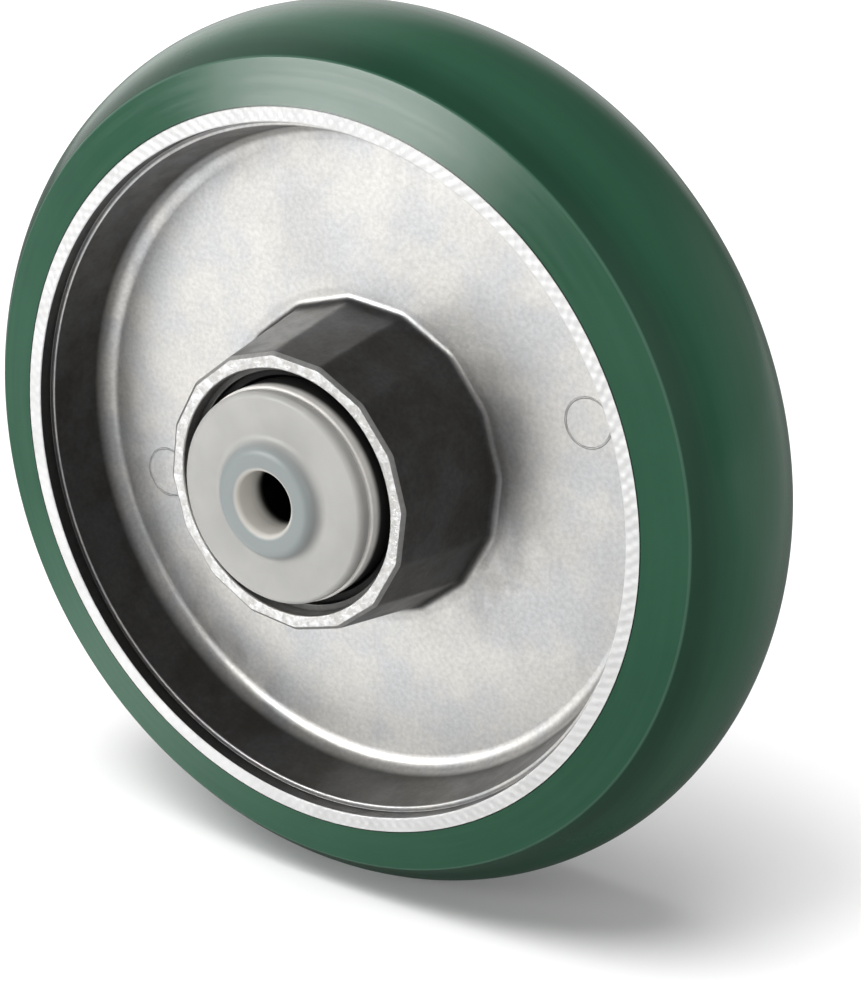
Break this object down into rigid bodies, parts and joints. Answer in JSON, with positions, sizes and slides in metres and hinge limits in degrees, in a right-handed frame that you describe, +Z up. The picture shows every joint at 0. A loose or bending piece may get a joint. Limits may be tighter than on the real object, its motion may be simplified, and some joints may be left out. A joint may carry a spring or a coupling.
{
  "type": "ball bearing wheel",
  "caption": "Castor wheel with a crowned elastic tread on a dished cast aluminium centre, sixteen-sided hub, ball bearings and flanged end caps for an axle bolt.",
  "frame": {"origin": "centre of the wheel, on its axle line and in its middle plane", "axes": "the wheel turns about Y; -Y is the shown side, +Z up, +X to the right of the shown side"},
  "size_m": [0.125, 0.0484, 0.125],
  "materials": {
    "tread": "satin green polyurethane",
    "cast_aluminium": "die cast, machined at the faces",
    "bearing_ring": "ground",
    "ball_steel": "polished",
    "cage_polymer": "moulded",
    "shield_steel": "pressed",
    "spacer_steel": "drawn tube",
    "cap_polymer": "moulded, light grey"
  },
  "bodies": {
    "axle_set": {"front_inner_ring": "bearing_ring", "rear_inner_ring": "bearing_ring", "spacer_tube": "spacer_steel", "front_end_cap": "cap_polymer", "rear_end_cap": "cap_polymer"},
    "wheel": {"tread": "tread", "wheel_body": "cast_aluminium", "front_outer_ring": "bearing_ring", "rear_outer_ring": "bearing_ring", "front_outboard_shield": "shield_steel", "front_inboard_shield": "shield_steel", "rear_outboard_shield": "shield_steel", "rear_inboard_shield": "shield_steel"},
    "front_cage": {"front_ball_cage": "cage_polymer"},
    "front_ball_1_body": {"front_ball_1": "ball_steel"},
    "front_ball_2_body": {"front_ball_2": "ball_steel"},
    "front_ball_3_body": {"front_ball_3": "ball_steel"},
    "front_ball_4_body": {"front_ball_4": "ball_steel"},
    "front_ball_5_body": {"front_ball_5": "ball_steel"},
    "front_ball_6_body": {"front_ball_6": "ball_steel"},
    "front_ball_7_body": {"front_ball_7": "ball_steel"},
    "front_ball_8_body": {"front_ball_8": "ball_steel"},
    "rear_cage": {"rear_ball_cage": "cage_polymer"},
    "rear_ball_1_body": {"rear_ball_1": "ball_steel"},
    "rear_ball_2_body": {"rear_ball_2": "ball_steel"},
    "rear_ball_3_body": {"rear_ball_3": "ball_steel"},
    "rear_ball_4_body": {"rear_ball_4": "ball_steel"},
    "rear_ball_5_body": {"rear_ball_5": "ball_steel"},
    "rear_ball_6_body": {"rear_ball_6": "ball_steel"},
    "rear_ball_7_body": {"rear_ball_7": "ball_steel"},
    "rear_ball_8_body": {"rear_ball_8": "ball_steel"}
  },
  "joints": [
    {"name": "wheel_spin", "type": "hinge", "parent": "axle_set", "child": "wheel", "pos_m": [0, 0, 0], "axis": [0, 1, 0], "continuous": true},
    {"name": "front_cage_spin", "type": "hinge", "parent": "axle_set", "child": "front_cage", "pos_m": [0, -0.0159, 0], "axis": [0, 1, 0], "continuous": true},
    {"name": "front_ball_1_spin", "type": "hinge", "parent": "front_cage", "child": "front_ball_1_body", "pos_m": [0.00924, -0.0159, 0.00383], "axis": [0, 1, 0], "continuous": true},
    {"name": "front_ball_2_spin", "type": "hinge", "parent": "front_cage", "child": "front_ball_2_body", "pos_m": [0.00383, -0.0159, 0.00924], "axis": [0, 1, 0], "continuous": true},
    {"name": "front_ball_3_spin", "type": "hinge", "parent": "front_cage", "child": "front_ball_3_body", "pos_m": [-0.00383, -0.0159, 0.00924], "axis": [0, 1, 0], "continuous": true},
    {"name": "front_ball_4_spin", "type": "hinge", "parent": "front_cage", "child": "front_ball_4_body", "pos_m": [-0.00924, -0.0159, 0.00383], "axis": [0, 1, 0], "continuous": true},
    {"name": "front_ball_5_spin", "type": "hinge", "parent": "front_cage", "child": "front_ball_5_body", "pos_m": [-0.00924, -0.0159, -0.00383], "axis": [0, 1, 0], "continuous": true},
    {"name": "front_ball_6_spin", "type": "hinge", "parent": "front_cage", "child": "front_ball_6_body", "pos_m": [-0.00383, -0.0159, -0.00924], "axis": [0, 1, 0], "continuous": true},
    {"name": "front_ball_7_spin", "type": "hinge", "parent": "front_cage", "child": "front_ball_7_body", "pos_m": [0.00383, -0.0159, -0.00924], "axis": [0, 1, 0], "continuous": true},
    {"name": "front_ball_8_spin", "type": "hinge", "parent": "front_cage", "child": "front_ball_8_body", "pos_m": [0.00924, -0.0159, -0.00383], "axis": [0, 1, 0], "continuous": true},
    {"name": "rear_cage_spin", "type": "hinge", "parent": "axle_set", "child": "rear_cage", "pos_m": [0, 0.0159, 0], "axis": [0, 1, 0], "continuous": true},
    {"name": "rear_ball_1_spin", "type": "hinge", "parent": "rear_cage", "child": "rear_ball_1_body", "pos_m": [0.00924, 0.0159, 0.00383], "axis": [0, 1, 0], "continuous": true},
    {"name": "rear_ball_2_spin", "type": "hinge", "parent": "rear_cage", "child": "rear_ball_2_body", "pos_m": [0.00383, 0.0159, 0.00924], "axis": [0, 1, 0], "continuous": true},
    {"name": "rear_ball_3_spin", "type": "hinge", "parent": "rear_cage", "child": "rear_ball_3_body", "pos_m": [-0.00383, 0.0159, 0.00924], "axis": [0, 1, 0], "continuous": true},
    {"name": "rear_ball_4_spin", "type": "hinge", "parent": "rear_cage", "child": "rear_ball_4_body", "pos_m": [-0.00924, 0.0159, 0.00383], "axis": [0, 1, 0], "continuous": true},
    {"name": "rear_ball_5_spin", "type": "hinge", "parent": "rear_cage", "child": "rear_ball_5_body", "pos_m": [-0.00924, 0.0159, -0.00383], "axis": [0, 1, 0], "continuous": true},
    {"name": "rear_ball_6_spin", "type": "hinge", "parent": "rear_cage", "child": "rear_ball_6_body", "pos_m": [-0.00383, 0.0159, -0.00924], "axis": [0, 1, 0], "continuous": true},
    {"name": "rear_ball_7_spin", "type": "hinge", "parent": "rear_cage", "child": "rear_ball_7_body", "pos_m": [0.00383, 0.0159, -0.00924], "axis": [0, 1, 0], "continuous": true},
    {"name": "rear_ball_8_spin", "type": "hinge", "parent": "rear_cage", "child": "rear_ball_8_body", "pos_m": [0.00924, 0.0159, -0.00383], "axis": [0, 1, 0], "continuous": true}
  ],
  "couplings": [
    {"joint": "front_cage_spin", "follows": "wheel_spin", "ratio": 0.61906},
    {"joint": "front_ball_1_spin", "follows": "wheel_spin", "ratio": 1.9807},
    {"joint": "front_ball_2_spin", "follows": "wheel_spin", "ratio": 1.9807},
    {"joint": "front_ball_3_spin", "follows": "wheel_spin", "ratio": 1.9807},
    {"joint": "front_ball_4_spin", "follows": "wheel_spin", "ratio": 1.9807},
    {"joint": "front_ball_5_spin", "follows": "wheel_spin", "ratio": 1.9807},
    {"joint": "front_ball_6_spin", "follows": "wheel_spin", "ratio": 1.9807},
    {"joint": "front_ball_7_spin", "follows": "wheel_spin", "ratio": 1.9807},
    {"joint": "front_ball_8_spin", "follows": "wheel_spin", "ratio": 1.9807},
    {"joint": "rear_cage_spin", "follows": "wheel_spin", "ratio": 0.61906},
    {"joint": "rear_ball_1_spin", "follows": "wheel_spin", "ratio": 1.9807},
    {"joint": "rear_ball_2_spin", "follows": "wheel_spin", "ratio": 1.9807},
    {"joint": "rear_ball_3_spin", "follows": "wheel_spin", "ratio": 1.9807},
    {"joint": "rear_ball_4_spin", "follows": "wheel_spin", "ratio": 1.9807},
    {"joint": "rear_ball_5_spin", "follows": "wheel_spin", "ratio": 1.9807},
    {"joint": "rear_ball_6_spin", "follows": "wheel_spin", "ratio": 1.9807},
    {"joint": "rear_ball_7_spin", "follows": "wheel_spin", "ratio": 1.9807},
    {"joint": "rear_ball_8_spin", "follows": "wheel_spin", "ratio": 1.9807}
  ]
}
